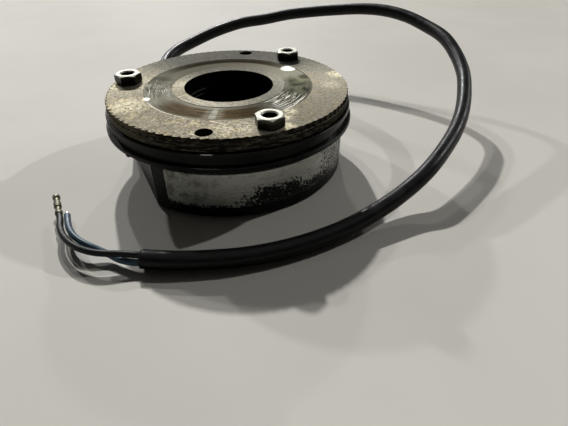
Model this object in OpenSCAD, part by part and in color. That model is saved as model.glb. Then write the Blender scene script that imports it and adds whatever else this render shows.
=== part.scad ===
/* [Stator] */
// Circle that the three sleeve bolts sit on
bolt_circle_d = 72; // [66:0.5:84]
// Bore through the stator for the shaft and hub
shaft_bore_d = 30; // [20:0.5:32]
// Height of the plain body under the collar
body_h = 17.8; // [17:0.1:26]
// Wall of the body outside the sleeve bolt holes
body_wall = 0.95; // [0.8:0.05:3]
// Wall between the coil slot and the sleeve bolt holes
pole_wall = 1.2; // [0.8:0.05:2.5]
// Wall on either side of the spring pockets
pocket_wall = 1.65; // [1:0.05:2]
// Depth of the coil slot, from the pole face
slot_depth = 15; // [12:0.1:16]
// Chamfer round the back edge of the body
back_chamfer = 0.8; // [0.2:0.1:2]
// Direction that the flat on the body faces, in degrees
flat_azimuth = 212; // [205:1:215]
// Wall between that flat and the nearest sleeve bolt hole
flat_wall = 0.8; // [0.5:0.1:2]

/* [Collar] */
// How far the collar stands out beyond the body
collar_overhang = 2.75; // [1.5:0.05:4]
// Height of each of the two rings of the collar
collar_ring_h = 1.6; // [1:0.1:3]
// Height of the groove between the rings, which takes a cover ring
groove_h = 2.6; // [1.5:0.1:4]
// How far the upper ring stays inside the lower one
upper_setback = 0.7; // [0.2:0.1:1]
// Depth of the groove, from the upper ring
groove_depth = 0.6; // [0.5:0.1:1.4]
// Small chamfer on the edges of the collar
collar_chamfer = 0.25; // [0.1:0.05:0.4]

/* [Armature plate] */
// Thickness of the plate
plate_t = 4; // [3:0.1:8]
// How far the plate's rim stays inside the collar's
plate_setback = 1.5; // [0.5:0.1:3]
// Hole in the middle of the plate
plate_hole_d = 31; // [30.5:0.5:34]
// Air gap between the plate and the pole face, brake applied
air_gap = 0.4; // [0.2:0.05:1]
// Inner diameter of the worn track
track_id = 39.2; // [36:0.2:42]
// Outer diameter of the worn track
track_od = 58.4; // [52:0.2:60]
// Depth of the worn track
track_depth = 0.15; // [0.05:0.05:0.5]
// Holes for hand release screws
release_hole_d = 5.2; // [4:0.1:6]
// Distance of those holes' centres inside the body's surface
release_inset = 2.8; // [2.6:0.05:4]
// Holes for the same screws in the stator
release_clearance_d = 4.2; // [3:0.1:4.4]
// Shallow notches round the plate's upper edge
rim_notches = 96; // [60:1:120]
// Depth of those notches
notch_depth = 0.45; // [0.15:0.05:0.6]
// Step from the plain rim in to the tips between the notches
notch_step = 0.06; // [0.02:0.02:0.1]
// Height of the notched part of the rim
notch_h = 1.8; // [0.5:0.1:2.5]

/* [Sleeve bolts] */
// Width across the flats of the head
sleeve_af = 8; // [7:0.5:9]
// Height of the head
sleeve_head_h = 3.3; // [2:0.1:7]
// Diameter of the shank
sleeve_shank_d = 6.5; // [5.5:0.1:7]
// Bore for the fixing screw
sleeve_bore_d = 4.5; // [3.2:0.1:5]
// Length of the shank inside the stator
sleeve_grip = 11.6; // [8:0.1:16]
// Chamfer on the head's corners and round its bore
sleeve_chamfer = 0.4; // [0.2:0.05:0.6]

/* [Springs] */
// Springs that push the plate off the stator
spring_count = 6; // [4:1:8]
// Outer diameter of a spring
spring_od = 4.8; // [4:0.1:5.5]
// Diameter of the spring wire
spring_wire = 0.7; // [0.5:0.05:0.9]
// Turns of each spring, with a closed turn at each end
spring_turns = 7; // [5:1:8]

/* [Torque adjuster] */
// Thickness of the adjuster ring
ring_t = 4.8; // [3.5:0.1:5.2]
// Rim of the ring outside the spring pockets
ring_rim = 1.15; // [0.8:0.05:1.5]
// Depth of the recess in the back that holds the ring
recess_h = 7; // [6.8:0.1:8]
// Room left above the ring when it is screwed right in
ring_gap = 0.5; // [0.2:0.1:1]
// Spanner notches in the ring's outer face
spanner_notches = 6; // [3:1:8]
// Width of a spanner notch
spanner_w = 4; // [2:0.5:5]
// Depth of a spanner notch
spanner_depth = 1.6; // [0.8:0.1:2.4]
// Metal between the recess and the spring pockets
pocket_web = 1.5; // [1:0.1:2.5]
// Diameter of a setting bolt's shank
setting_shank_d = 2.8; // [2:0.1:3.4]
// Length of a setting bolt's shank
setting_shank_l = 4.1; // [3.9:0.1:5]
// Thickness of a setting bolt's head
setting_head_h = 1.4; // [0.8:0.1:2]

/* [Coil] */
// Wall of the coil former
former_wall = 0.8; // [0.5:0.1:1.2]
// Thickness of the resin that closes the slot
potting_t = 2; // [1:0.1:4]
// How far the resin stays below the pole face
potting_drop = 0.3; // [0.1:0.05:1]

/* [Cable] */
// Diameter of the cable
cable_d = 5.4; // [4.5:0.1:5.6]
// Diameter of one insulated core
core_d = 1.9; // [1.4:0.1:2]
// Diameter of the grommet in the cable hole
grommet_d = 7.4; // [7.2:0.1:7.6]
// Diameter of the grommet's flange
flange_d = 9.6; // [8.6:0.1:9.8]
// Thickness of the grommet's flange
flange_t = 1.8; // [1:0.1:2]
// Depth of the flat seat under the flange
seat_depth = 1.45; // [1:0.05:2]
// Height of the cable hole above the floor of the coil slot
exit_lift = 3.9; // [3.9:0.1:4.2]
// How far the cable's end stays outside the grommet's inner end
cable_inset = 0.8; // [0.2:0.1:2]
// Length of the crimped ferrule on the dark core
ferrule_l = 10; // [8:0.5:12]
// Diameter of that ferrule
ferrule_d = 2.2; // [1.9:0.1:2.6]
// Plain band at each end of the ferrule
ferrule_band = 1.2; // [0.6:0.1:1.6]
// Length of each of the ferrule's two crimps
crimp_l = 1.4; // [0.8:0.1:1.8]
// Length of the slope on either side of a crimp
crimp_slope = 0.6; // [0.3:0.1:0.7]
// Depth of a crimp
crimp_depth = 0.28; // [0.1:0.02:0.4]
// Depth of the hollow in the ferrule's open end
ferrule_hollow = 0.7; // [0.3:0.1:1]
// Length of bare wire at the end of the blue core
bare_l = 1.2; // [0.6:0.1:3]
// Diameter of that bare wire
bare_d = 1.1; // [0.6:0.1:1.3]

/* [Clearances] */
// Radial play of the plate on the sleeve bolts
plate_play = 0.2; // [0.1:0.05:0.4]
// Radial play of threaded and pressed pieces
thread_play = 0.05; // [0.02:0.01:0.1]
// Radial play of a spring in its pocket
pocket_play = 0.2; // [0.1:0.05:0.4]
// Radial play of a setting bolt in its bore
setting_play = 0.1; // [0.05:0.05:0.2]
// Play between the plate and the sleeve bolt heads
head_play = 0.05; // [0.02:0.01:0.2]
// Room between the grommet's inner end and the coil slot
grommet_gap = 0.2; // [0.1:0.05:0.5]
// Room under the end of a sleeve bolt
drill_room = 0.5; // [0.2:0.1:1]

/* [Hidden] */
$fn = 96;
eps = 0.01;
sleeve_angles = [60, 180, 300];
sleeve_turns = [41, 20, 48];
release_angles = [90, 270];
exit_azimuth = 130;

// Heights
collar_z = body_h;
groove_z = collar_z + collar_ring_h;
upper_ring_z = groove_z + groove_h;
stator_h = upper_ring_z + collar_ring_h;
plate_z = stator_h + air_gap;
plate_top = plate_z + plate_t;
head_z = plate_top + head_play;
slot_z = stator_h - slot_depth;
ring_top = recess_h - ring_gap;
pocket_z = recess_h + pocket_web;
setting_head_z = ring_top + setting_shank_l;
spring_z = setting_head_z + setting_head_h;
spring_l = plate_z - spring_z;
exit_z = slot_z + exit_lift;
former_top = stator_h - potting_drop - potting_t;

// Radii
bolt_r = bolt_circle_d / 2;
bore_r = shaft_bore_d / 2;
sleeve_hole_r = sleeve_shank_d / 2 + thread_play;
body_r = bolt_r + sleeve_hole_r + body_wall;
collar_r = body_r + collar_overhang;
upper_ring_r = collar_r - upper_setback;
groove_r = upper_ring_r - groove_depth;
plate_r = collar_r - plate_setback;
release_r = body_r - release_inset;
pocket_r = spring_od / 2 + pocket_play;
spring_circle_r = bore_r + pocket_wall + pocket_r;
slot_in_r = spring_circle_r + pocket_r + pocket_wall;
slot_out_r = bolt_r - sleeve_hole_r - pole_wall;
recess_r = spring_circle_r + pocket_r + ring_rim;
flat_offset = bolt_r * cos(flat_azimuth - sleeve_angles[1]) + sleeve_hole_r + flat_wall;
seat_r = body_r - seat_depth;
flange_out_r = seat_r + flange_t;
grommet_in_r = slot_out_r + grommet_gap;
cable_start_r = grommet_in_r + cable_inset;

// Route of the cable after its hole, lying on the table at its end
cable_route = [
    [-38.3, 46.5, 13.5], [-42.7, 57.5, 16.5], [-41, 68.5, 18.7], [-34, 79, 21], [-24, 88, 24],
    [-12, 95.5, 26.5], [0, 100.5, 27.5], [13, 103.5, 29.5], [26, 103.5, 31], [39, 101.5, 32.5],
    [51, 97, 34], [62, 91, 34.5], [72, 82.3, 33.7], [80, 72.3, 31.7], [85.8, 60.8, 29.8],
    [89, 48.8, 26.3], [90, 36, 22.4], [88.4, 24, 19], [85.4, 12, 16.2], [81, 0.5, 13.7],
    [75, -11, 11.7], [68, -22, 9.7], [60.2, -30, 6.5], [50.7, -38.8, 4.5], [40, -47.2, 3.3],
    [28, -54.5, 2.9], [15, -59.8, 2.8], [2, -62.5, 2.8], [-7, -63.3, 2.8], [-13.7, -63.3, 2.8]
];
// Routes of the two cores from the end of the cable
dark_route = [
    [-13.7, -62.8, 3.7], [-16.7, -62.8, 3.7], [-20, -63.2, 4.1], [-23.2, -63.7, 4.4], [-26.3, -63.8, 4.6],
    [-29.5, -63.2, 4.7], [-32.6, -62, 4.7], [-35.9, -59.8, 4.6], [-38.9, -57, 4.5], [-41.3, -53.8, 4.4],
    [-42.9, -50.7, 4.4], [-44.6, -48, 4.5]
];
blue_route = [
    [-13.7, -64.1, 2.1], [-16.7, -64.1, 2.1], [-20.5, -63, 1.8], [-24, -61.5, 2.1], [-26.8, -60.8, 2.8],
    [-29.6, -60.2, 3.6], [-32.6, -59.1, 4.1], [-35.7, -57, 4.3], [-38.3, -54.2, 4.3], [-40.3, -51.2, 4.3],
    [-42.1, -48, 4.3]
];

cable_sides = 12;
core_sides = 8;
wire_sides = 6;
steps_per_turn = 12;
// Pitch of a spring's closed end turns, in wire diameters
close_pitch = 1.15;

function unit(v) = v / norm(v);
function spring_angle(i) = 360 * (i - 1) / spring_count + 30;
function polar_point(r, azimuth, z) = [r * cos(azimuth), r * sin(azimuth), z];

// Direction of a path at one of its points
function heading(path, i) = unit(path[min(i + 1, len(path) - 1)] - path[max(i - 1, 0)]);

// One ring of points round a path, square to it
function ring_points(path, i, r, sides) =
    let (along = heading(path, i), side = unit(cross(along, [0, 0, 1])), up = cross(side, along))
    [for (k = [0 : sides - 1]) path[i] + r * (cos(360 * k / sides) * side + sin(360 * k / sides) * up)];

// Height along a spring after a number of turns, with close turns at both ends
function spring_rise(turn) =
    let (close = close_pitch * spring_wire)
    let (open = (spring_l - spring_wire - 2 * close) / (spring_turns - 2))
    let (middle = min(max(turn - 1, 0), spring_turns - 2))
    spring_wire / 2 + open * middle + close * (turn - middle);

// Round tube that follows a path
module tube(path, r, sides) {
    last = len(path) - 1;
    points = [for (i = [0 : last]) each ring_points(path, i, r, sides)];
    walls = [
        for (i = [0 : last - 1], k = [0 : sides - 1])
        let (a = i * sides + k, b = i * sides + (k + 1) % sides)
        each [[a, a + sides, b], [b, a + sides, b + sides]]
    ];
    start = [for (k = [0 : sides - 1]) k];
    end = [for (k = [sides - 1 : -1 : 0]) last * sides + k];
    polyhedron(points, concat([start], walls, [end]));
}

// Puts a copy of the children at each angle on a circle
module around(r, angles) {
    for (a = angles) rotate(a) translate([r, 0, 0]) children();
}

// Lays the children, drawn along +Z, in a direction from a point
module aim(point, direction) {
    azimuth = atan2(direction[1], direction[0]);
    slope = asin(direction[2] / norm(direction));
    translate(point) rotate([0, 90 - slope, azimuth]) children();
}

// Section of the turned stator body, right of its axis
module stator_section() {
    c = collar_chamfer;
    polygon([
        [bore_r, 0],
        [body_r - back_chamfer, 0],
        [body_r, back_chamfer],
        [body_r, collar_z],
        [collar_r - c, collar_z],
        [collar_r, collar_z + c],
        [collar_r, groove_z - c],
        [collar_r - c, groove_z],
        [groove_r, groove_z],
        [groove_r, upper_ring_z],
        [upper_ring_r - c, upper_ring_z],
        [upper_ring_r, upper_ring_z + c],
        [upper_ring_r, stator_h - c],
        [upper_ring_r - c, stator_h],
        [bore_r, stator_h]
    ]);
}

module coil_slot() {
    translate([0, 0, slot_z]) difference() {
        cylinder(r = slot_out_r, h = slot_depth + eps);
        translate([0, 0, -eps]) cylinder(r = slot_in_r, h = slot_depth + 3 * eps);
    }
}

module body_flat() {
    reach = body_r - flat_offset;
    rotate(flat_azimuth)
        translate([flat_offset, -body_r, -eps])
        cube([reach + eps, 2 * body_r, collar_z + eps]);
}

module spring_pockets() {
    angles = [for (i = [1 : spring_count]) spring_angle(i)];
    around(spring_circle_r, angles) {
        translate([0, 0, pocket_z]) cylinder(r = pocket_r, h = stator_h - pocket_z + eps);
        translate([0, 0, recess_h - eps])
            cylinder(d = setting_shank_d + 2 * setting_play, h = pocket_web + 2 * eps);
    }
}

module cable_hole() {
    rotate(exit_azimuth) translate([0, 0, exit_z]) rotate([0, 90, 0]) {
        translate([0, 0, slot_out_r - grommet_gap])
            cylinder(r = grommet_d / 2 + thread_play, h = body_r - slot_out_r + grommet_gap);
        translate([0, 0, seat_r])
            cylinder(r = flange_d / 2 + 2 * thread_play, h = collar_overhang + seat_depth);
    }
}

module stator_housing() {
    color("#1c1c1e") difference() {
        rotate_extrude() stator_section();
        body_flat();
        coil_slot();
        spring_pockets();
        translate([0, 0, -eps]) cylinder(r = recess_r, h = recess_h + eps);
        around(bolt_r, sleeve_angles) {
            translate([0, 0, -eps]) cylinder(d = sleeve_bore_d, h = stator_h);
            translate([0, 0, stator_h - sleeve_grip - drill_room])
                cylinder(r = sleeve_hole_r, h = sleeve_grip + drill_room + eps);
        }
        around(release_r, release_angles)
            translate([0, 0, -eps]) cylinder(d = release_clearance_d, h = stator_h + 2 * eps);
        cable_hole();
    }
}

module coil_former() {
    inner = slot_in_r + thread_play;
    outer = slot_out_r - thread_play;
    color("#d8d4c4") rotate_extrude() polygon([
        [inner, slot_z],
        [outer, slot_z],
        [outer, slot_z + former_wall],
        [inner + former_wall, slot_z + former_wall],
        [inner + former_wall, former_top - former_wall],
        [outer, former_top - former_wall],
        [outer, former_top],
        [inner, former_top]
    ]);
}

module coil_winding() {
    inner = slot_in_r + 2 * thread_play + former_wall;
    outer = slot_out_r - former_wall / 2;
    low = slot_z + former_wall + thread_play;
    high = former_top - former_wall - thread_play;
    color("#a4552c") rotate_extrude()
        translate([inner, low]) square([outer - inner, high - low]);
}

module potting_ring() {
    color("#4a3a26") translate([0, 0, former_top]) difference() {
        cylinder(r = slot_out_r - thread_play, h = potting_t);
        translate([0, 0, -eps]) cylinder(r = slot_in_r + thread_play, h = potting_t + 2 * eps);
    }
}

// Outline of the plate's upper rim, with a shallow slanted notch at each step
module notched_disc() {
    step = 360 / rim_notches;
    tip_r = plate_r - notch_step;
    root_r = plate_r - notch_depth;
    polygon([
        for (i = [0 : rim_notches - 1])
        each [
            [tip_r * cos(i * step), tip_r * sin(i * step)],
            [root_r * cos((i + 0.8) * step), root_r * sin((i + 0.8) * step)]
        ]
    ]);
}

module armature_plate() {
    color("#a8a294") difference() {
        union() {
            translate([0, 0, plate_z]) cylinder(r = plate_r, h = plate_t - notch_h);
            translate([0, 0, plate_top - notch_h - eps]) linear_extrude(notch_h + eps) notched_disc();
        }
        translate([0, 0, plate_z - eps]) cylinder(d = plate_hole_d, h = plate_t + 2 * eps);
        translate([0, 0, plate_top - track_depth]) difference() {
            cylinder(d = track_od, h = plate_t);
            translate([0, 0, -eps]) cylinder(d = track_id, h = plate_t + 2 * eps);
        }
        around(bolt_r, sleeve_angles)
            translate([0, 0, plate_z - eps])
            cylinder(r = sleeve_shank_d / 2 + plate_play, h = plate_t + 2 * eps);
        around(release_r, release_angles)
            translate([0, 0, plate_z - eps]) cylinder(d = release_hole_d, h = plate_t + 2 * eps);
    }
}

// Hexagonal head with the corners turned off above and below
module sleeve_head(turn) {
    c = sleeve_chamfer;
    corner_r = sleeve_af / 2 / cos(30);
    out_r = corner_r + c / 2;
    low_r = sleeve_af / 2 - c / 4;
    land_r = sleeve_af / 2 - c / 2;
    low_rise = c * (out_r - low_r) / (corner_r - low_r);
    top_drop = c * (out_r - land_r) / (corner_r - land_r);
    intersection() {
        rotate(turn) cylinder(r = corner_r, h = sleeve_head_h, $fn = 6);
        rotate_extrude() polygon([
            [0, 0],
            [low_r, 0],
            [out_r, low_rise],
            [out_r, sleeve_head_h - top_drop],
            [land_r, sleeve_head_h],
            [0, sleeve_head_h]
        ]);
    }
}

module sleeve_bolt(turn) {
    shank_l = head_z - stator_h + sleeve_grip;
    top = head_z + sleeve_head_h;
    difference() {
        union() {
            translate([0, 0, head_z]) sleeve_head(turn);
            translate([0, 0, head_z - shank_l]) cylinder(d = sleeve_shank_d, h = shank_l + eps);
        }
        translate([0, 0, head_z - shank_l - eps])
            cylinder(d = sleeve_bore_d, h = shank_l + sleeve_head_h + 2 * eps);
        translate([0, 0, top - sleeve_chamfer])
            cylinder(d1 = sleeve_bore_d, d2 = sleeve_bore_d + 2 * sleeve_chamfer, h = sleeve_chamfer + eps);
    }
}

module sleeve_bolts() {
    color("#b9bcbc") for (i = [0 : len(sleeve_angles) - 1])
        translate(polar_point(bolt_r, sleeve_angles[i], 0)) sleeve_bolt(sleeve_turns[i]);
}

module adjuster_ring() {
    outer = recess_r - thread_play;
    angles = [for (i = [1 : spanner_notches]) 360 * i / spanner_notches];
    color("#8d8f90") translate([0, 0, ring_top - ring_t]) difference() {
        cylinder(r = outer, h = ring_t);
        translate([0, 0, -eps]) cylinder(d = plate_hole_d, h = ring_t + 2 * eps);
        around(0, angles)
            translate([0, -spanner_w / 2, -eps]) cube([recess_r, spanner_w, spanner_depth + eps]);
    }
}

module compression_spring(i) {
    coil_r = (spring_od - spring_wire) / 2;
    count = spring_turns * steps_per_turn;
    path = [
        for (k = [0 : count])
        polar_point(coil_r, 360 * k / steps_per_turn, spring_rise(k / steps_per_turn))
    ];
    color("#c9ccd0") translate(polar_point(spring_circle_r, spring_angle(i), spring_z))
        tube(path, spring_wire / 2, wire_sides);
}

module setting_bolt(i) {
    color("#9a9c9e") translate(polar_point(spring_circle_r, spring_angle(i), ring_top)) {
        cylinder(d = setting_shank_d, h = setting_shank_l + eps);
        translate([0, 0, setting_shank_l]) cylinder(d = spring_od, h = setting_head_h);
    }
}

module cable_grommet() {
    length = flange_out_r - grommet_in_r;
    color("#26262a") rotate(exit_azimuth) translate([0, 0, exit_z]) rotate([0, 90, 0]) difference() {
        union() {
            translate([0, 0, grommet_in_r]) cylinder(d = grommet_d, h = length);
            translate([0, 0, seat_r]) cylinder(d = flange_d, h = flange_t);
        }
        translate([0, 0, grommet_in_r - eps])
            cylinder(r = cable_d / 2 + thread_play, h = length + 2 * eps);
    }
}

module cable_jacket() {
    lead = [
        polar_point(cable_start_r, exit_azimuth, exit_z),
        polar_point(flange_out_r + cable_d, exit_azimuth, exit_z)
    ];
    color("#1b1b1d") tube(concat(lead, cable_route), cable_d / 2, cable_sides);
}

module core_dark() {
    color("#2a2b2e") tube(dark_route, core_d / 2, core_sides);
}

module core_blue() {
    color("#4b6f86") tube(blue_route, core_d / 2, core_sides);
}

// Outline of one crimp, from the height where its first slope starts
function crimp_outline(z) =
    let (r = ferrule_d / 2, low = z + crimp_slope, high = low + crimp_l)
    [[r, z], [r - crimp_depth, low], [r - crimp_depth, high], [r, high + crimp_slope]];

module ferrule_dark() {
    last = len(dark_route) - 1;
    r = ferrule_d / 2;
    crimp_span = crimp_l + 2 * crimp_slope;
    outline = concat(
        [[0, 0], [r, 0]],
        crimp_outline(ferrule_band),
        crimp_outline(ferrule_l - ferrule_band - crimp_span),
        [[r, ferrule_l], [r - crimp_depth, ferrule_l]],
        [[r - crimp_depth, ferrule_l - ferrule_hollow], [0, ferrule_l - ferrule_hollow]]
    );
    color("#6f6650") aim(dark_route[last], heading(dark_route, last)) rotate_extrude() polygon(outline);
}

module bare_end_blue() {
    last = len(blue_route) - 1;
    color("#c9b18a") aim(blue_route[last], heading(blue_route, last)) cylinder(d = bare_d, h = bare_l);
}

stator_housing();
coil_former();
coil_winding();
potting_ring();
armature_plate();
sleeve_bolts();
adjuster_ring();
for (i = [1 : spring_count]) {
    compression_spring(i);
    setting_bolt(i);
}
cable_grommet();
cable_jacket();
core_dark();
core_blue();
ferrule_dark();
bare_end_blue();
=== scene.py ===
"""Looks of a spring applied brake: finishes, cable, label and studio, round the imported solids."""

import math

import bmesh
import bpy
from mathutils import Matrix, Vector


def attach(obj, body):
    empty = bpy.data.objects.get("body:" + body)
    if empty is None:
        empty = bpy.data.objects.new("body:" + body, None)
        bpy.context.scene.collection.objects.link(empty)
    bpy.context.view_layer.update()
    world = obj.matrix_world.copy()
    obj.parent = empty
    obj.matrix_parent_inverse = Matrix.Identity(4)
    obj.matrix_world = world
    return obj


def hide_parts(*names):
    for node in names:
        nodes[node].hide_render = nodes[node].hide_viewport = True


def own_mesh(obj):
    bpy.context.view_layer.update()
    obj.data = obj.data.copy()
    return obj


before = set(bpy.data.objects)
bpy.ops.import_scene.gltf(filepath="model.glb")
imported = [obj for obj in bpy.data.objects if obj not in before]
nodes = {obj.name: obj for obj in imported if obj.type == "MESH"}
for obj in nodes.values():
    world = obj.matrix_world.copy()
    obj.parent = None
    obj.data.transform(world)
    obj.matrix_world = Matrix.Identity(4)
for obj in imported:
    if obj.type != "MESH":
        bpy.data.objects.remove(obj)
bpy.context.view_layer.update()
scene = bpy.context.scene
MM = 0.001

# Camera, in the frame of the part
CAMERA_PLACE = Vector((32.12, -144.28, 81.36)) * MM
CAMERA_HEADING = 95.16
CAMERA_DOWN = 36.79
CAMERA_ROLL = -0.34
CAMERA_LENS = 27.0
SENSOR_WIDTH = 36.0
CLIP_START = 0.005

# Cable and cores, in millimetres
CABLE_D = 5.4
CORE_D = 1.9
DARK_LENGTH = 39
BLUE_LENGTH = 36
CORE_TUCK = 1.2
EXIT_AZIMUTH = 130.0
EXIT_Z = 12.5
LEAD_RADII = (32.5, 46.0)
ROUTE_STEPS = 8
CABLE_SIDES = 28
CORE_SIDES = 18
# How each cord is cut off: how far back from its end and what share of its radius
CABLE_END = ((0.0, 0.97), (-0.1, 0.93), (-0.05, 0.82), (1.5, 0.8), (1.6, 0.3))
CORE_END = ((-0.08, 0.8), (-0.08, 0.4))
CABLE_ROUTE = [
    (-38.3, 46.5, 13.5), (-42.7, 57.5, 16.5), (-41, 68.5, 18.7), (-34, 79, 21), (-24, 88, 24),
    (-12, 95.5, 26.5), (0, 100.5, 27.5), (13, 103.5, 29.5), (26, 103.5, 31), (39, 101.5, 32.5),
    (51, 97, 34), (62, 91, 34.5), (72, 82.3, 33.7), (80, 72.3, 31.7), (85.8, 60.8, 29.8),
    (89, 48.8, 26.3), (90, 36, 22.4), (88.4, 24, 19), (85.4, 12, 16.2), (81, 0.5, 13.7),
    (75, -11, 11.7), (68, -22, 9.7), (60.2, -30, 6.5), (50.7, -38.8, 4.5), (40, -47.2, 3.3),
    (28, -54.5, 2.9), (15, -59.8, 2.8), (2, -62.5, 2.8), (-7, -63.3, 2.8), (-13.7, -63.3, 2.8),
]
DARK_ROUTE = [
    (-13.7, -62.8, 3.7), (-16.7, -62.8, 3.7), (-20, -63.2, 4.1), (-23.2, -63.7, 4.4),
    (-26.3, -63.8, 4.6), (-29.5, -63.2, 4.7), (-32.6, -62, 4.7), (-35.9, -59.8, 4.6),
    (-38.9, -57, 4.5), (-41.3, -53.8, 4.4), (-42.9, -50.7, 4.4), (-44.6, -48, 4.5),
]
BLUE_ROUTE = [
    (-13.7, -64.1, 2.1), (-16.7, -64.1, 2.1), (-20.5, -63, 1.8), (-24, -61.5, 2.1),
    (-26.8, -60.8, 2.8), (-29.6, -60.2, 3.6), (-32.6, -59.1, 4.1), (-35.7, -57, 4.3),
    (-38.3, -54.2, 4.3), (-40.3, -51.2, 4.3), (-42.1, -48, 4.3),
]

# Stator and plate, in millimetres
BODY_R = 40.25
COLLAR_EDGES = ((43.0, 17.8), (43.0, 19.4), (42.3, 22.0), (42.3, 23.6))
TRACK_RADII = (19.6, 29.2)
PLATE_TOP = 28.0
PLATE_R = 41.5
RIM_NOTCHES = 96
DRIP_R = 42.5
DRIP_AZIMUTH = 232.7
DRIP_Z = 17.75

# Zones on the plate: azimuth and how far they reach to either side, in degrees. Several of them
# paint shade or light on one side.
SHADED_FAR_SIDE = (97.0, 93.0)
SHADED_FRONT_SIDE = (241.0, 64.0)
SHADED_RIGHT_SIDE = (350.0, 80.0)
SOILED_SHADED_TEETH = (215.0, 80.0)
RING_SHADED_RIGHT = (348.0, 62.0)
RING_LIT_FRONT = (262.0, 50.0)
LIP_HIGHLIGHT = (238.0, 24.0)
RIM_STREAKS = (272.0, 30.0)
RIM_LIT_SIDE = (212.0, 42.0)
TRACK_BROWN_LEFT = (250.0, 32.0)
TRACK_BROWN_RIGHT = (287.0, 26.0)
TRACK_BROWN_BAND_SHADE = (102.0, 66.0)
TRACK_OLIVE = (359.0, 36.0)
TRACK_GLINT = (330.0, 20.0)
TRACK_DARKENED = (330.0, 24.0)
TRACK_LEFT = (195.0, 26.0)
HIGHLIGHT_STREAK_CORE = (270.0, 3.4)
HIGHLIGHT_STREAK_SPREAD = (270.0, 9.0)

# Marks on the plate, painted highlight spots and dark smudges: radius, azimuth, size and, where
# there are several, share
TRACK_HIGHLIGHT_SPOT = (27.4, 45.4, 3.5)
HIGHLIGHT_SPOTS = (
    (40.0, 20.5, 5.0, 0.6), (35.3, 4.0, 5.0, 0.3), (35.5, 216.0, 8.5, 0.4),
    (28.9, 210.8, 1.9, 1.0), (33.7, 311.0, 3.0, 1.0), (31.1, 317.8, 3.4, 1.0),
    (39.2, 306.5, 3.4, 1.0), (34.8, 279.0, 5.0, 0.3), (35.5, 289.0, 5.0, 0.35),
    (38.8, 188.0, 2.8, 0.6),
)
DARK_SPOTS = (
    (27.4, 194.6, 3.2, 0.9), (26.7, 173.7, 6.5, 0.6), (28.0, 22.8, 3.4, 0.9),
    (22.8, 16.5, 3.0, 0.7), (25.5, 8.0, 2.6, 0.6),
)

# Zones, painted highlight dashes and painted highlight lines on the housing, the zones as on the
# plate and the heights in millimetres
BODY_WORN = (325.0, 30.0)
COLLAR_DULL = (226.0, 26.0)
COLLAR_HIGHLIGHT = (271.8, 3.0)
COLLAR_HIGHLIGHT_HEIGHTS = (23.35, 23.65)
THIN_HIGHLIGHT = (271.0, 7.0)
THIN_HIGHLIGHT_HEIGHTS = (19.25, 19.4)
BORE_HIGHLIGHTS = (150.0, 28.0)
BORE_HIGHLIGHT_HEIGHTS = ((22.6, 23.0), (21.0, 21.3))

# Label on the body: azimuths in degrees, heights in millimetres, and its zones
LABEL_AZIMUTHS = (249.8, 345.0)
LABEL_HEIGHTS = (3.9, 15.9)
LABEL_LIFT = 0.02
LABEL_THICKNESS = 0.08
LABEL_CORNER = 0.8
LABEL_WORN = (311.0, 40.0)
LABEL_PATCH = (301.0, 18.0)
LABEL_END = (341.0, 24.0)
LABEL_LIT_SIDE = (304.0, 44.0)

# Lamps: azimuth and elevation in degrees, and strength
LAMPS = {
    "main": (109.0, 36.0, 1.75),
    "second": (117.6, 36.0, 0.4),
    "right": (34.5, 32.0, 0.62),
    "left": (133.0, 24.5, 0.6),
    "back": (95.0, 23.0, 0.3),
}
LAMP_WIDTH = 1.6
FLOOR_HALF = 6.0
BACKDROP_LEVEL = 0.62


def tone(red, green, blue):
    """Linear colour of an 8-bit screen colour."""
    shares = [c / 255 for c in (red, green, blue)]
    linear = [c / 12.92 if c <= 0.04045 else ((c + 0.055) / 1.055) ** 2.4 for c in shares]
    return (*linear, 1.0)


def polar(radius, azimuth, z):
    """Point at a radius, an azimuth in degrees and a height."""
    turn = math.radians(azimuth)
    return Vector((radius * math.cos(turn), radius * math.sin(turn), z))


def plug(tree, socket, value):
    """Links an input to another node's output, or sets its own value."""
    if isinstance(value, bpy.types.NodeSocket):
        tree.links.new(value, socket)
    else:
        socket.default_value = value


def add_node(tree, kind, inputs, **settings):
    """A new shader node, with its inputs by name or place and its own settings."""
    node = tree.nodes.new("ShaderNode" + kind)
    for name, value in settings.items():
        setattr(node, name, value)
    for key, value in inputs.items():
        plug(tree, node.inputs[key], value)
    return node


# Camera

def make_camera():
    """The photograph's camera, which looks down at the part."""
    down = math.radians(CAMERA_DOWN)
    forward = polar(math.cos(down), CAMERA_HEADING, -math.sin(down))
    right = forward.cross(Vector((0, 0, 1))).normalized()
    up = right.cross(forward)
    level = Matrix((right, up, -forward)).transposed()
    data = bpy.data.cameras.new("camera")
    data.lens = CAMERA_LENS
    data.sensor_width = SENSOR_WIDTH
    data.clip_start = CLIP_START
    camera = bpy.data.objects.new("camera", data)
    scene.collection.objects.link(camera)
    turned = level @ Matrix.Rotation(math.radians(CAMERA_ROLL), 3, "Z")
    camera.matrix_world = Matrix.Translation(CAMERA_PLACE) @ turned.to_4x4()
    scene.camera = camera


# Meshes

def new_piece(name, build):
    """A smooth-shaded mesh object, filled by build(bmesh) in metres, that rides on the stator."""
    work = bmesh.new()
    build(work)
    bmesh.ops.recalc_face_normals(work, faces=work.faces)
    mesh = bpy.data.meshes.new(name)
    work.to_mesh(mesh)
    work.free()
    mesh.shade_smooth()
    piece = bpy.data.objects.new(name, mesh)
    scene.collection.objects.link(piece)
    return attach(piece, "stator")


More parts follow.
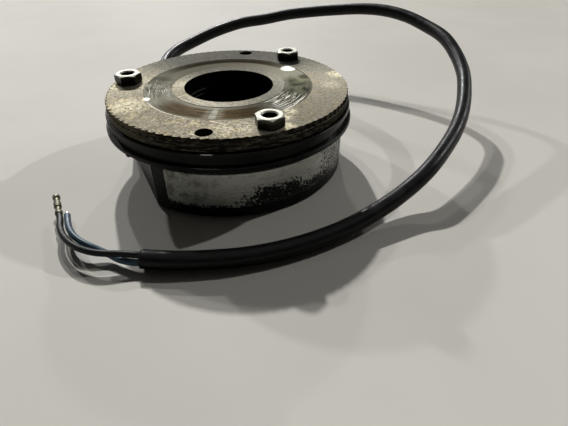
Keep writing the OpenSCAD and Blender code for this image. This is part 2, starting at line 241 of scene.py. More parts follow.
def smooth_route(points, steps):
    """A smooth curve through points, with some steps between each two."""
    points = [Vector(p) for p in points]
    first = 2 * points[0] - points[1]
    last = 2 * points[-1] - points[-2]
    ends = [first, *points, last]
    path = []
    for a, b, c, d in zip(ends, ends[1:], ends[2:], ends[3:]):
        for step in range(steps):
            t = step / steps
            path.append(0.5 * (2 * b + (c - a) * t + (2 * a - 5 * b + 4 * c - d) * t ** 2
                               + (3 * b - a - 3 * c + d) * t ** 3))
    path.append(points[-1])
    return path


def heading_at(path, i):
    """Direction of a path at one of its points."""
    return (path[min(i + 1, len(path) - 1)] - path[max(i - 1, 0)]).normalized()


def tube(name, path, radius, sides, end_profile):
    """A round tube along a path in millimetres. Its far end follows end_profile: pairs of how far
    back from the end and what share of the radius."""
    rings = [(p, heading_at(path, i), radius) for i, p in enumerate(path)]
    along = heading_at(path, len(path) - 1)
    rings += [(path[-1] - along * back, along, radius * share) for back, share in end_profile]

    def build(work):
        loops = []
        for centre, forward, r in rings:
            side = forward.cross(Vector((0, 0, 1))).normalized()
            up = side.cross(forward)
            turns = [2 * math.pi * k / sides for k in range(sides)]
            ring = [centre + r * (math.cos(t) * side + math.sin(t) * up) for t in turns]
            loops.append([work.verts.new(point * MM) for point in ring])
        for low, high in zip(loops, loops[1:]):
            for k in range(sides):
                n = (k + 1) % sides
                work.faces.new((low[k], low[n], high[n], high[k]))
        work.faces.new(loops[0])
        work.faces.new(loops[-1])

    return new_piece(name, build)


def make_cords():
    """The cable and its two cores, each along its own route."""
    lead = [polar(r, EXIT_AZIMUTH, EXIT_Z) for r in LEAD_RADII]
    cable_path = smooth_route([*lead, *CABLE_ROUTE], ROUTE_STEPS)
    cable = tube("cable", cable_path, CABLE_D / 2, CABLE_SIDES, CABLE_END)
    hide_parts("cable_jacket")

    cores = []
    for name, node, slot, route, length, end_node in (
        ("dark_core", "core_dark", "core_black_pvc", DARK_ROUTE, DARK_LENGTH, "ferrule_dark"),
        ("blue_core", "core_blue", "core_blue_pvc", BLUE_ROUTE, BLUE_LENGTH, "bare_end_blue"),
    ):
        path = smooth_route(route, ROUTE_STEPS)
        path = [path[0] - heading_at(path, 0) * CORE_TUCK, *path]
        core = tube(name, path, CORE_D / 2, CORE_SIDES, CORE_END)
        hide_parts(node)
        cores.append(core)
    return [cable, *cores]


def make_label():
    """A thin bare foil label, bent round the body."""
    columns, rows = 96, 14
    start, end = LABEL_AZIMUTHS
    low, high = LABEL_HEIGHTS
    inner = BODY_R + LABEL_LIFT
    outer = inner + LABEL_THICKNESS

    def reach(column):
        """How far the corners are rounded off at a column, in millimetres."""
        span = math.radians(end - start) * BODY_R
        edge = min(column, columns - column) / columns * span
        if edge >= LABEL_CORNER:
            return 0.0
        return LABEL_CORNER - math.sqrt(LABEL_CORNER ** 2 - (LABEL_CORNER - edge) ** 2)

    def build(work):
        grids = []
        for radius in (inner, outer):
            grid = []
            for i in range(columns + 1):
                cut = reach(i)
                azimuth = start + (end - start) * i / columns
                heights = [low + cut + (high - low - 2 * cut) * j / rows for j in range(rows + 1)]
                grid.append([work.verts.new(polar(radius, azimuth, z) * MM) for z in heights])
            grids.append(grid)
            for a, b in zip(grid, grid[1:]):
                for j in range(rows):
                    work.faces.new((a[j], b[j], b[j + 1], a[j + 1]))
        back, front = grids
        rim = [(i, 0) for i in range(columns)] + [(columns, j) for j in range(rows)]
        rim += [(i, rows) for i in range(columns, 0, -1)] + [(0, j) for j in range(rows, 0, -1)]
        for (i, j), (k, m) in zip(rim, rim[1:] + rim[:1]):
            work.faces.new((back[i][j], back[k][m], front[k][m], front[i][j]))

    label = new_piece("blank_label", build)
    return label


def make_drip():
    """A small run of paint that hangs from the collar's lower edge."""
    reach, width, height = 0.5, 1.1, 0.75
    columns, rows = 16, 8

    def build(work):
        bmesh.ops.create_uvsphere(work, u_segments=columns, v_segments=rows, radius=1.0)
        outward = polar(1.0, DRIP_AZIMUTH, 0.0)
        across = polar(1.0, DRIP_AZIMUTH + 90, 0.0)
        centre = polar(DRIP_R, DRIP_AZIMUTH, DRIP_Z)
        for vert in work.verts:
            x, y, z = vert.co
            rise = Vector((0, 0, z * height))
            vert.co = (centre + outward * (x * reach) + across * (y * width) + rise) * MM

    drip = new_piece("paint_drip", build)
    return drip


def make_springs():
    """Copies of the CAD springs, which ride on the stator in their place."""
    springs = []
    for name in sorted(n for n in nodes if n.startswith("compression_spring")):
        mesh = nodes[name].data
        working_name = name.replace("compression", "working")
        spring = new_piece(working_name, lambda work, mesh=mesh: work.from_mesh(mesh))
        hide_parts(name)
        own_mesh(spring)
        springs.append(spring)
    return springs


# Finishes

class Finish:
    """One procedural material, built node by node round a Principled shader."""

    def __init__(self, name, **settings):
        self.material = bpy.data.materials.new(name)
        self.material.use_nodes = True
        self.tree = self.material.node_tree
        self.shader = self.tree.nodes["Principled BSDF"]
        self.set(**settings)

    def set(self, **settings):
        """Sets or links the shader's inputs, named in lower case with underscores."""
        for name, value in settings.items():
            title = name.replace("_", " ").title().replace("Ior", "IOR")
            plug(self.tree, self.shader.inputs[title], value)

    def add(self, kind, inputs, **settings):
        """A new node in this material."""
        return add_node(self.tree, kind, inputs, **settings)

    def place(self):
        """The point on the part, in millimetres."""
        coordinates = self.add("TexCoord", {}).outputs["Object"]
        return self.scaled(coordinates, 1 / MM)

    def scaled(self, vector, factor):
        return self.add("VectorMath", {0: vector, "Scale": factor}, operation="SCALE").outputs[0]

    def stretched(self, vector, x, y, z):
        return self.add("VectorMath", {0: vector, 1: (x, y, z)}, operation="MULTIPLY").outputs[0]

    def turned(self, vector, degrees):
        inputs = {"Vector": vector, "Angle": math.radians(degrees)}
        return self.add("VectorRotate", inputs, rotation_type="Z_AXIS").outputs[0]

    def axes(self, vector):
        return self.add("SeparateXYZ", {0: vector}).outputs

    def vector(self, x, y, z):
        return self.add("CombineXYZ", {0: x, 1: y, 2: z}).outputs[0]

    def math(self, operation, a, b=0.0):
        return self.add("Math", {0: a, 1: b}, operation=operation).outputs[0]

    def times(self, a, b):
        return self.math("MULTIPLY", a, b)

    def most(self, a, b):
        return self.math("MAXIMUM", a, b)

    def less(self, value):
        """One minus a value."""
        return self.math("SUBTRACT", 1.0, value)

    def fade(self, value, low, high):
        """Rises smoothly from 0 at low to 1 at high, or falls where low is above high."""
        inputs = {"Value": value, "From Min": low, "From Max": high}
        return self.add("MapRange", inputs, interpolation_type="SMOOTHSTEP").outputs["Result"]

    def between(self, value, low, high, soft):
        """1 between two values and 0 outside them, with soft edges."""
        above = self.fade(value, low - soft, low + soft)
        below = self.fade(value, high + soft, high - soft)
        return self.times(above, below)

    def span(self, share, low, high):
        """A number that goes from low to high as share goes from 0 to 1."""
        return self.add("Mix", {0: share, 2: low, 3: high}, data_type="FLOAT").outputs[0]

    def mix(self, share, a, b):
        """A colour between a and b."""
        return self.add("Mix", {0: share, 6: a, 7: b}, data_type="RGBA").outputs[2]

    def noise(self, vector, scale, detail=3.0, rough=0.55):
        """Cloudy noise between 0 and 1, with some marks to the millimetre."""
        inputs = {"Vector": vector, "Scale": scale, "Detail": detail, "Roughness": rough}
        return self.add("TexNoise", inputs).outputs[0]

    def specks(self, vector, scale, size):
        """Small round spots: 1 in a spot and 0 outside."""
        distance = self.add("TexVoronoi", {"Vector": vector, "Scale": scale}).outputs["Distance"]
        return self.fade(distance, size, size * 0.6)

    def scratches(self, vector, degrees, fine, long, least):
        """Thin straight lines at an angle: 1 on a line and 0 between."""
        stretched = self.stretched(self.turned(vector, degrees), 1 / long, fine, 1.0)
        return self.fade(self.noise(stretched, 1.0, 2.0), least, least + 0.06)

    def round_places(self, vector):
        """Radius, direction from the axis and height of a point."""
        x, y, z = self.axes(vector)
        flat = self.vector(x, y, 0.0)
        radius = self.add("VectorMath", {0: flat}, operation="LENGTH").outputs["Value"]
        direction = self.add("VectorMath", {0: flat}, operation="NORMALIZE").outputs[0]
        return radius, direction, z

    def circling(self, level, direction, around, across):
        """Coordinates for marks that run round the axis, by radius or height."""
        x, y, _ = self.axes(self.scaled(direction, around))
        return self.vector(x, y, self.times(level, across))

    def toward(self, direction, azimuth, width):
        """1 at an azimuth, falling to 0 at some degrees to either side."""
        inputs = {0: direction, 1: polar(1.0, azimuth, 0.0)}
        along = self.add("VectorMath", inputs, operation="DOT_PRODUCT").outputs["Value"]
        outer, inner = (math.cos(math.radians(width * share)) for share in (1.0, 0.35))
        return self.fade(along, outer, inner)

    def spot(self, vector, radius, azimuth, size):
        """1 at a point on the plate's face, falling to 0 at some millimetres from it."""
        inputs = {0: vector, 1: polar(radius, azimuth, PLATE_TOP)}
        away = self.add("VectorMath", inputs, operation="DISTANCE").outputs["Value"]
        return self.fade(away, size, size * 0.3)

    def spots(self, vector, marks):
        """Several such points together, each as radius, azimuth, size and share."""
        covered = 0.0
        for radius, azimuth, size, share in marks:
            spot = self.spot(vector, radius, azimuth, size)
            covered = self.most(covered, self.times(spot, share))
        return covered

    def upward(self):
        """1 on faces that look up and 0 on walls."""
        normal = self.add("NewGeometry", {}).outputs["Normal"]
        return self.fade(self.axes(normal)[2], 0.5, 0.8)

    def bump(self, height, depth):
        """Raises the surface by a height from 0 to 1 times a depth in millimetres."""
        node = self.add("Bump", {"Height": height, "Distance": depth * MM, "Strength": 1.0})
        self.set(normal=node.outputs[0])

    def on(self, *pieces):
        """Gives pieces this finish."""
        for piece in pieces:
            piece.data.materials.clear()
            piece.data.materials.append(self.material)


def plate_steel():
    """Worn bare steel: stained faces with painted shade by side and painted highlights, a polished
    track with circular scratches, painted glints and painted shade, and a rim dark with oil and
    painted shade.
    """
    tint = (0.55, 0.55, 0.53, 1.0)
    quarter_turn = 0.25
    f = Finish("plate_steel", metallic=1.0, specular_tint=tint, anisotropic=0.6,
               anisotropic_rotation=quarter_turn)
    tangent = f.add("Tangent", {}, direction_type="RADIAL", axis="Z").outputs[0]
    f.set(tangent=tangent)
    place = f.place()
    radius, direction, z = f.round_places(place)
    upward = f.upward()
    track_in, track_out = TRACK_RADII
    track = f.between(radius, track_in, track_out, 0.25)
    far = f.toward(direction, *SHADED_FAR_SIDE)
    x, y, _ = f.axes(place)
    # Dirt and painted shade: dark marks on the face at each notch of the rim, on the left
    turn = f.math("FRACT", f.times(f.math("ARCTAN2", y, x), RIM_NOTCHES / (2 * math.pi)))
    tooth = f.times(f.fade(turn, 0.3, 0.75), f.fade(turn, 1.0, 0.88))
    soiled_shaded = f.times(tooth, f.toward(direction, *SOILED_SHADED_TEETH))
    soiled_shaded = f.times(soiled_shaded, f.fade(radius, PLATE_R - 1.1, PLATE_R - 0.5))

    # Face: stains, blotches and grain, with painted shade by side, painted highlights and painted
    # sparkle
    broad = f.noise(place, 0.055, 2.0)
    blotch = f.noise(place, 0.26, 5.0, 0.65)
    mottle = f.noise(place, 0.9, 6.0, 0.7)
    grain = f.noise(place, 1.5, 5.0, 0.75)
    steel = f.mix(f.fade(broad, 0.38, 0.62), tone(138, 133, 121), tone(150, 145, 130))
    # Painted shade: the face is darker towards the front left and on the right
    steel = f.mix(f.times(f.toward(direction, *SHADED_FRONT_SIDE), 0.95), steel, tone(101, 96, 85))
    steel = f.mix(f.times(f.toward(direction, *SHADED_RIGHT_SIDE), 0.8), steel, tone(124, 120, 109))
    steel = f.mix(f.times(f.fade(blotch, 0.46, 0.66), 0.6), steel, tone(146, 135, 108))
    steel = f.mix(f.times(f.fade(mottle, 0.48, 0.64), 0.6), steel, tone(104, 96, 77))
    # Painted light and shade on the inner ring: lighter at the front, darker on the right
    on_ring = f.fade(radius, track_in + 1, track_in)
    for zone, share, colour in (
        (RING_SHADED_RIGHT, 0.8, tone(104, 104, 97)),
        (RING_LIT_FRONT, 0.7, tone(138, 133, 122)),
    ):
        part = f.times(f.toward(direction, *zone), on_ring)
        steel = f.mix(f.times(part, share), steel, colour)
    # Painted shade: the face is darker towards the far side
    far_shade_steel = f.mix(f.fade(radius, 19.0, 30.0), tone(87, 85, 79), tone(76, 75, 71))
    steel = f.mix(far, steel, far_shade_steel)
    # Painted highlights: bright spots on the face, broken up by the mottle, and a bright line along
    # the track's outer edge
    pale_marks = f.spots(place, HIGHLIGHT_SPOTS)
    lip_highlight = f.between(radius, track_out - 0.2, track_out + 0.1, 0.1)
    lip_highlight = f.times(f.toward(direction, *LIP_HIGHLIGHT), lip_highlight)
    pale_marks = f.most(f.times(pale_marks, f.fade(mottle, 0.62, 0.46)), lip_highlight)
    steel = f.mix(pale_marks, steel, tone(204, 196, 170))
    steel = f.mix(f.times(f.fade(grain, 0.52, 0.68), 0.6), steel, tone(58, 55, 47))
    # Painted sparkle: fine bright grain standing in for glints, less of it on the far side as
    # painted shade
    bright = f.times(f.fade(grain, 0.47, 0.32), f.span(far, 0.62, 0.25))
    steel = f.mix(bright, steel, tone(202, 196, 178))
    # Scratches, fainter on the far side as painted shade
    lines = f.scratches(place, 24.0, 3.4, 9.0, 0.63)
    more_lines = f.scratches(place, 118.0, 3.0, 12.0, 0.65)
    marks = f.times(f.most(lines, more_lines), f.less(f.times(far, 0.7)))
    steel = f.mix(f.times(marks, 0.4), steel, tone(158, 154, 142))
    steel = f.mix(soiled_shaded, steel, tone(24, 23, 19))

    # Dark walls, round the outside and in the hole: oily dirt and streaks together with painted
    # shade, painted lighter on the left, and painted shade in the hole
    drips = f.noise(f.circling(z, direction, 12.0, 1.6), 1.0, 5.0, 0.65)
    rim = f.mix(f.fade(drips, 0.46, 0.68), tone(27, 25, 21), tone(82, 79, 68))
    rim = f.mix(f.times(f.fade(mottle, 0.52, 0.66), 0.7), rim, tone(14, 13, 11))
    streaks = f.noise(f.circling(z, direction, 4.0, 3.0), 1.0, 2.0)
    streaks = f.times(f.fade(streaks, 0.55, 0.6), f.toward(direction, *RIM_STREAKS))
    rim = f.mix(f.times(streaks, 0.9), rim, tone(8, 8, 7))
    rim = f.mix(f.times(f.toward(direction, *RIM_LIT_SIDE), 0.5), rim, tone(96, 91, 78))
    hole_shade = f.fade(radius, 30.0, 25.0)
    rim = f.mix(hole_shade, rim, tone(11, 11, 10))
    step = f.between(radius, track_in - 1.0, track_out + 1.0, 0.2)
    flat = f.most(upward, step)
    f.set(base_color=f.mix(flat, rim, steel))
    rough_face = f.span(f.fade(mottle, 0.4, 0.65), 0.58, 0.7)
    f.set(roughness=f.span(flat, 0.5, f.span(marks, rough_face, 0.45)))
    f.bump(f.math("SUBTRACT", f.times(grain, 0.5), f.times(marks, 0.3)), 0.04)

    # Polished track, with painted glints, a painted highlight streak and painted shade towards the
    # far side
    rings = f.noise(f.circling(radius, direction, 2.2, 2.4), 1.0, 6.0, 0.62)
    fine_rings = f.noise(f.circling(radius, direction, 5.0, 9.0), 1.0, 4.0, 0.6)
    arcs = f.noise(f.circling(radius, direction, 3.0, 3.6), 1.0, 3.0, 0.55)
    worn = f.mix(f.fade(rings, 0.4, 0.62), tone(73, 71, 63), tone(106, 104, 94))
    worn = f.mix(f.times(f.fade(grain, 0.5, 0.66), 0.6), worn, tone(46, 44, 37))
    # Painted shade: the track is darker towards the far side
    worn = f.mix(f.times(far, 0.75), worn, tone(70, 67, 59))
    for zone, share, light, dark in (
        (TRACK_BROWN_LEFT, 0.92, tone(56, 46, 33), tone(35, 27, 18)),
        (TRACK_BROWN_RIGHT, 0.95, tone(62, 51, 34), tone(44, 35, 22)),
    ):
        part = f.times(f.toward(direction, *zone), f.between(radius, 21.2, 28.4, 1.2))
        brown = f.mix(f.fade(rings, 0.4, 0.6), light, dark)
        worn = f.mix(f.times(part, share), worn, brown)
    # A brown band on the track's far side, darkened further as painted shade
    brown_band_and_shade = f.times(f.toward(direction, *TRACK_BROWN_BAND_SHADE), f.between(radius, 25.2, 28.8, 1.0))
    worn = f.mix(f.times(brown_band_and_shade, 0.9), worn, tone(36, 30, 21))
    olive = f.times(f.toward(direction, *TRACK_OLIVE), f.between(radius, 21.5, 28.6, 1.6))
    patchy = f.mix(f.fade(blotch, 0.44, 0.58), tone(83, 84, 68), tone(34, 35, 28))
    worn = f.mix(f.times(olive, 0.9), worn, patchy)
    worn = f.mix(f.spots(place, DARK_SPOTS), worn, tone(34, 31, 25))
    # Painted glints: bright arcs on the right of the track and bright scratches on its left
    glint = f.times(f.toward(direction, *TRACK_GLINT), f.fade(arcs, 0.53, 0.57))
    left = f.toward(direction, *TRACK_LEFT)
    left_glint = f.times(left, f.fade(fine_rings, 0.54, 0.62))
    # A darker base on the right and left of the track, round the painted glints
    darkened = f.most(f.toward(direction, *TRACK_DARKENED), left)
    worn = f.mix(f.times(darkened, 0.5), worn, tone(58, 56, 49))
    # Painted highlight: a bright radial streak at the front of the track
    spread = f.times(f.toward(direction, *HIGHLIGHT_STREAK_SPREAD), 0.35)
    highlight_streak = f.most(f.toward(direction, *HIGHLIGHT_STREAK_CORE), spread)
    highlight_streak = f.times(highlight_streak, f.between(radius, 20.6, 27.8, 1.4))
    highlight_streak = f.times(highlight_streak, f.span(f.fade(rings, 0.42, 0.58), 1.0, 0.55))
    worn = f.mix(highlight_streak, worn, tone(110, 109, 101))
    worn = f.mix(f.times(left_glint, 0.85), worn, tone(168, 166, 156))
    # Painted highlights: the glints, the face's bright spots and a bright spot on the far side of
    # the track
    shine = f.most(f.most(glint, pale_marks), f.spot(place, *TRACK_HIGHLIGHT_SPOT))
    worn = f.mix(shine, worn, tone(226, 225, 216))
    rough_track = f.span(f.fade(rings, 0.4, 0.65), 0.48, 0.6)
    rough_track = f.span(brown_band_and_shade, rough_track, 0.68)
    inputs = {"Height": fine_rings, "Distance": 0.02 * MM, "Strength": 1.0}
    bumps = f.add("Bump", inputs).outputs[0]
    polished = f.add("BsdfPrincipled", {
        "Base Color": worn, "Metallic": 1.0, "Roughness": rough_track, "Anisotropic": 0.8,
        "Anisotropic Rotation": quarter_turn, "Tangent": tangent, "Normal": bumps,
        "Specular Tint": tint,
    })
    on_track = f.times(track, upward)
    both = f.add("MixShader", {0: on_track, 1: f.shader.outputs[0], 2: polished.outputs[0]})
    plug(f.tree, f.tree.nodes["Material Output"].inputs["Surface"], both.outputs[0])
    return f


def black_paint():
    """Gloss black paint over steel, chipped along the collar's edges and scuffed, with painted
    highlight dashes on the collar's rings and painted highlight lines in the bore.
    """
    f = Finish("black_paint", ior=1.45, specular_ior_level=0.14)
    place = f.place()
    radius, direction, z = f.round_places(place)
    broad = f.noise(place, 0.12, 3.0)
    chips = f.noise(place, 1.1, 5.0, 0.7)
    peel = f.noise(place, 1.6, 2.0)

    edge = 0.0
    for edge_radius, height in COLLAR_EDGES:
        outside = f.fade(radius, edge_radius - 0.6, edge_radius - 0.2)
        edge = f.most(edge, f.times(f.between(z, height, height, 0.3), outside))
    chipped = f.times(edge, f.fade(chips, 0.64, 0.7))
    on_body = f.fade(radius, BODY_R - 0.5, BODY_R - 0.1)
    pale_marks = f.times(f.toward(direction, *BODY_WORN), on_body)
    pale_marks = f.times(pale_marks, f.fade(chips, 0.66, 0.72))
    # Painted highlights: short bright dashes on the collar's ring edges, drawn as bare metal
    highlight_dash = f.times(f.toward(direction, *COLLAR_HIGHLIGHT), f.between(z, *COLLAR_HIGHLIGHT_HEIGHTS, 0.1))
    thin_highlight_dash = f.times(f.toward(direction, *THIN_HIGHLIGHT), f.between(z, *THIN_HIGHLIGHT_HEIGHTS, 0.08))
    on_collar = f.fade(radius, 41.6, 42.0)
    highlight_dashes = f.times(f.most(highlight_dash, f.times(thin_highlight_dash, 0.4)), on_collar)
    # Chips and wear, together with the painted highlight dashes
    bare = f.most(f.most(chipped, f.times(pale_marks, 0.6)), highlight_dashes)

    paint = f.mix(f.fade(broad, 0.4, 0.65), tone(6, 6, 6), tone(10, 10, 10))
    dust = f.times(f.upward(), f.fade(f.noise(place, 0.5, 5.0), 0.4, 0.7))
    paint = f.mix(f.times(dust, 0.3), paint, tone(70, 66, 58))
    # Painted highlights: two faint pale lines on the bore's wall
    bore_highlights = f.most(*(f.between(z, *heights, 0.2) for heights in BORE_HIGHLIGHT_HEIGHTS))
    in_bore = f.fade(radius, 17.0, 16.0)
    bore_highlights = f.times(f.times(bore_highlights, f.toward(direction, *BORE_HIGHLIGHTS)), in_bore)
    paint = f.mix(bore_highlights, paint, tone(124, 122, 114))
    # Bare metal for the chips and wear, near white for the painted highlight dashes
    metal = f.mix(highlight_dashes, tone(128, 124, 114), tone(236, 234, 226))
    f.set(base_color=f.mix(bare, paint, metal))
    f.set(metallic=f.times(bare, f.span(highlight_dashes, 0.9, 0.2)))
    gloss = f.span(f.fade(broad, 0.35, 0.65), 0.2, 0.34)
    gloss = f.span(f.times(f.toward(direction, *COLLAR_DULL), 0.9), gloss, 0.5)
    f.set(roughness=f.span(bare, gloss, 0.4))
    f.bump(f.math("SUBTRACT", f.times(peel, 0.6), bare), 0.03)
    return f


def zinc():
    """Zinc plated steel with faint turning lines: bright stained tops, and sides painted dark as
    shade, lighter higher up as painted light.
    """
    f = Finish("zinc", metallic=1.0)
    place = f.place()
    x, y, z = f.axes(place)
    stain = f.noise(place, 0.7, 5.0, 0.65)
    lines = f.noise(f.vector(f.times(x, 0.3), f.times(y, 0.3), f.times(z, 8.0)), 1.0, 2.0)
    top = f.mix(f.fade(stain, 0.45, 0.7), tone(166, 164, 153), tone(128, 124, 111))
    # Painted shade: the sides are a darker copy of the tops, lighter higher up as painted light
    side = f.mix(f.fade(stain, 0.4, 0.66), tone(36, 34, 29), tone(18, 17, 14))
    rise = f.fade(z, PLATE_TOP + 1.6, PLATE_TOP + 3.3)
    side = f.mix(f.times(rise, 0.5), side, tone(90, 88, 79))
    upward = f.upward()
    f.set(base_color=f.mix(upward, side, top))
    f.set(roughness=f.span(upward, f.span(stain, 0.24, 0.4), f.span(stain, 0.46, 0.62)))
    f.bump(lines, 0.012)
    return f


def turned_steel(name, light, dark, rough):
    """Plain steel with fine lines from turning or drawing."""
    f = Finish(name, metallic=1.0)
    place = f.place()
    radius, direction, _ = f.round_places(place)
    lines = f.noise(f.circling(radius, direction, 1.0, 6.0), 1.0, 3.0)
    patches = f.noise(place, 0.5, 4.0)
    colour = f.mix(f.fade(patches, 0.4, 0.65), light, dark)
    f.set(base_color=colour)
    f.set(roughness=f.span(f.fade(lines, 0.35, 0.65), rough - 0.08, rough + 0.1))
    f.bump(lines, 0.01)
    return f


def cast_resin():
    """Dark brown potting resin with small bubbles."""
    f = Finish("potting_resin", ior=1.52)
    place = f.place()
    cloud = f.noise(place, 0.35, 4.0)
    bubbles = f.specks(place, 0.9, 0.16)
    f.set(base_color=f.mix(f.fade(cloud, 0.4, 0.65), tone(66, 50, 34), tone(88, 70, 48)))
    f.set(roughness=f.span(cloud, 0.25, 0.5))
    f.bump(f.math("SUBTRACT", f.times(cloud, 0.5), bubbles), 0.06)
    return f


def moulded_plastic():
    """Pale glass-filled plastic of the coil former."""
    f = Finish("former_plastic", ior=1.5)
    place = f.place()
    fibres = f.noise(f.stretched(place, 0.6, 2.5, 2.5), 1.0, 5.0, 0.65)
    f.set(base_color=f.mix(f.fade(fibres, 0.4, 0.65), tone(222, 214, 194), tone(198, 188, 164)))
    f.set(roughness=f.span(fibres, 0.4, 0.62))
    f.bump(fibres, 0.02)
    return f


def enamelled_wire():
    """Copper winding: fine wires laid round the axis."""
    f = Finish("copper_wire", metallic=0.85)
    wire_pitch = 0.45
    radius, direction, z = f.round_places(f.place())
    turns = f.math("SINE", f.times(z, 2 * math.pi / wire_pitch))
    shade = f.noise(f.circling(radius, direction, 3.0, 2.0), 1.0, 3.0)
    f.set(base_color=f.mix(f.fade(shade, 0.35, 0.65), tone(176, 96, 56), tone(128, 62, 34)))
    f.set(roughness=f.span(shade, 0.25, 0.4))
    f.bump(turns, 0.08)
    return f


def cable_sheath(name, light, dark, rough, depth, shine):
    """Extruded PVC: satin, with faint handling marks and dust."""
    f = Finish(name, ior=1.5, specular_ior_level=shine)
    place = f.place()
    smear = f.noise(place, 0.22, 4.0, 0.6)
    grain = f.noise(place, 2.2, 4.0, 0.6)
    scuffs = f.fade(f.noise(f.stretched(place, 0.5, 0.5, 1.4), 1.0, 5.0, 0.7), 0.6, 0.74)
    colour = f.mix(f.fade(smear, 0.4, 0.66), dark, light)
    f.set(base_color=f.mix(f.times(scuffs, 0.25), colour, tone(72, 70, 64)))
    f.set(roughness=f.span(f.fade(smear, 0.35, 0.65), rough - 0.06, rough + 0.1))
    f.bump(grain, depth)
    return f


def rubber():
    """Matt black moulded rubber."""
    f = Finish("grommet_rubber", ior=1.5)
    place = f.place()
    grain = f.noise(place, 3.0, 5.0, 0.6)
    bloom = f.noise(place, 0.5, 4.0)
    f.set(base_color=f.mix(f.fade(bloom, 0.4, 0.7), tone(26, 26, 27), tone(52, 50, 48)))
    f.set(roughness=f.span(bloom, 0.55, 0.75))
    f.bump(grain, 0.03)
    return f


def dull_metal(name, light, dark, rough):
    """Tarnished crimped or bare metal."""
    f = Finish(name, metallic=0.9)
    place = f.place()
    tarnish = f.noise(place, 0.9, 5.0, 0.7)
    grain = f.noise(place, 5.0, 4.0)
    f.set(base_color=f.mix(f.fade(tarnish, 0.4, 0.62), light, dark))
    f.set(roughness=f.span(f.fade(tarnish, 0.35, 0.65), rough - 0.1, rough + 0.12))
    f.bump(grain, 0.03)
    return f


def foil_label():
    """Silver-grey foil, dulled and dirty and painted lighter over its right part as painted light,
    worn through to black in patches to the right.
    """
    f = Finish("label_foil", specular_ior_level=0.2)
    place = f.place()
    _, direction, z = f.round_places(place)
    dirt = f.noise(place, 0.35, 6.0, 0.68)
    flecks = f.noise(place, 1.3, 5.0, 0.72)
    scored = f.noise(f.circling(z, direction, 14.0, 3.0), 1.0, 4.0, 0.6)

    worn_zone = f.toward(direction, *LABEL_WORN)
    low_zone = f.fade(z, 11.5, 5.0)
    end_zone = f.toward(direction, *LABEL_END)
    patch = f.times(f.toward(direction, *LABEL_PATCH), f.fade(z, 14.0, 7.5))
    foot_zone = f.times(f.fade(z, 6.2, 4.2), 0.7)
    wear = f.most(f.times(worn_zone, low_zone), f.most(f.times(end_zone, 0.62), foot_zone))
    wear = f.most(wear, patch)
    least = f.span(wear, 0.7, 0.37)
    inputs = {"Value": flecks, "From Min": least, "From Max": f.math("ADD", least, 0.03)}
    gone = f.add("MapRange", inputs).outputs[0]

    foil = f.mix(f.fade(dirt, 0.42, 0.64), tone(174, 175, 167), tone(112, 111, 103))
    # Painted light: the foil is lighter over its right part
    foil = f.mix(f.times(f.toward(direction, *LABEL_LIT_SIDE), 0.8), foil, tone(212, 213, 205))
    foil = f.mix(f.times(f.fade(scored, 0.56, 0.66), 0.6), foil, tone(74, 73, 67))
    rubs = f.scratches(f.circling(z, direction, BODY_R, 1.0), 8.0, 2.6, 6.0, 0.62)
    foil = f.mix(f.times(rubs, 0.5), foil, tone(208, 208, 200))
    chips = f.fade(f.noise(place, 1.6, 4.0, 0.7), 0.66, 0.7)
    foil = f.mix(f.times(chips, 0.8), foil, tone(40, 40, 37))
    f.set(base_color=f.mix(gone, foil, tone(9, 9, 9)))
    f.set(metallic=f.times(f.less(gone), 0.35))
    f.set(roughness=f.span(gone, f.span(dirt, 0.38, 0.58), 0.4))
    f.bump(f.math("SUBTRACT", f.times(scored, 0.2), gone), 0.05)
    return f


def dress(cords, label, drip, springs):
    """Puts every finish on its pieces."""
    cable, dark_core, blue_core = cords
    bolts = [o for name, o in nodes.items() if name.startswith("setting_bolt")]
    plate_steel().on(nodes["armature_plate"])
    black_paint().on(nodes["stator_housing"], drip)
    zinc().on(nodes["sleeve_bolts"])
    for name, light, dark, rough, pieces in (
        ("ring_steel", tone(170, 168, 162), tone(128, 124, 116), 0.36, [nodes["adjuster_ring"]]),
        ("bolt_steel", tone(178, 177, 172), tone(140, 136, 128), 0.34, bolts),
        ("spring_steel", tone(190, 190, 188), tone(146, 143, 138), 0.3, springs),
    ):
        turned_steel(name, light, dark, rough).on(*pieces)
    cast_resin().on(nodes["potting_ring"])
    moulded_plastic().on(nodes["coil_former"])
    enamelled_wire().on(nodes["coil_winding"])
    rubber().on(nodes["cable_grommet"])
    for name, light, dark, rough, depth, shine, piece in (
        ("cable_pvc", tone(13, 13, 13), tone(6, 6, 6), 0.36, 0.02, 0.16, cable),
        ("core_black_pvc", tone(22, 23, 24), tone(12, 13, 14), 0.42, 0.01, 0.2, dark_core),
        ("core_blue_pvc", tone(82, 110, 127), tone(61, 87, 105), 0.36, 0.01, 0.25, blue_core),
    ):
        cable_sheath(name, light, dark, rough, depth, shine).on(piece)
    for name, light, dark, rough, node in (
        ("ferrule_metal", tone(112, 109, 92), tone(64, 61, 48), 0.5, "ferrule_dark"),
        ("bare_copper", tone(236, 226, 204), tone(206, 170, 120), 0.3, "bare_end_blue"),
    ):
        dull_metal(name, light, dark, rough).on(nodes[node])
    foil_label().on(label)


# Studio

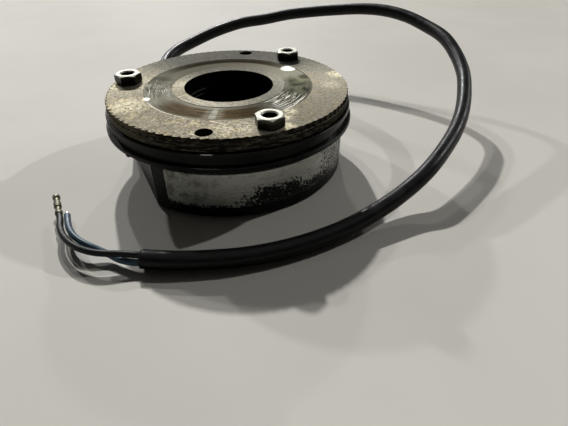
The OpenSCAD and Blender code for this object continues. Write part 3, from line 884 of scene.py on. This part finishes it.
def make_floor():
    """A plain pale table top."""
    mesh = bpy.data.meshes.new("floor")
    signs = ((-1, -1), (1, -1), (1, 1), (-1, 1))
    corners = [(x * FLOOR_HALF, y * FLOOR_HALF, 0) for x, y in signs]
    mesh.from_pydata(corners, [], [(0, 1, 2, 3)])
    floor = bpy.data.objects.new("floor", mesh)
    scene.collection.objects.link(floor)
    f = Finish("floor", ior=1.45, specular_ior_level=0.15)
    cloud = f.fade(f.noise(f.place(), 0.012, 3.0), 0.35, 0.65)
    f.set(base_color=f.mix(cloud, tone(230, 226, 216), tone(235, 231, 221)))
    f.set(roughness=0.6)
    f.on(floor)


def make_lights():
    """Small lamps behind the part and to either side."""
    for name, (azimuth, elevation, strength) in LAMPS.items():
        data = bpy.data.lights.new(name, "SUN")
        data.energy = strength
        data.angle = math.radians(LAMP_WIDTH)
        lamp = bpy.data.objects.new(name, data)
        scene.collection.objects.link(lamp)
        rise = math.radians(elevation)
        toward = polar(math.cos(rise), azimuth, math.sin(rise))
        lamp.rotation_euler = toward.to_track_quat("Z", "Y").to_euler()


def make_world():
    """A dim plain room, brighter at the back. Reflections see a pale band low down and a pale
    ceiling, and the camera sees an even backdrop."""
    world = bpy.data.worlds.new("room")
    world.use_nodes = True
    scene.world = world
    tree = world.node_tree

    def add(kind, inputs, **settings):
        return add_node(tree, kind, inputs, **settings).outputs

    def ramp(value, start, end, low, high):
        """A level that goes from low to high as a value goes from start to end."""
        ends = {"From Min": start, "From Max": end, "To Min": low, "To Max": high}
        return add("MapRange", {"Value": value, **ends})[0]

    def most(a, b):
        return add("Math", {0: a, 1: b}, operation="MAXIMUM")[0]

    def choose(share, a, b):
        return add("Mix", {0: share, 2: a, 3: b}, data_type="FLOAT")[0]

    direction = add("TexCoord", {})["Generated"]
    _, depth, rise = add("SeparateXYZ", {0: direction})
    room = ramp(depth, -0.1, 0.9, 0.006, 0.12)
    band = ramp(rise, 0.16, 0.27, 0.5, 0.1)
    ceiling = ramp(rise, 0.6, 0.95, 0.0, 0.6)
    ray = add("LightPath", {})
    reflected = most(ray["Is Glossy Ray"], ray["Is Transmission Ray"])
    level = choose(reflected, room, most(band, ceiling))
    level = choose(ray["Is Camera Ray"], level, BACKDROP_LEVEL)
    tint = add("Mix", {0: level, 6: (0, 0, 0, 1), 7: (1.0, 0.99, 0.96, 1)}, data_type="RGBA")[2]
    tree.links.new(tint, tree.nodes["Background"].inputs["Color"])


make_camera()
cords = make_cords()
label = make_label()
drip = make_drip()
springs = make_springs()
dress(cords, label, drip, springs)
make_floor()
make_lights()
make_world()
scene.view_settings.view_transform = "Standard"
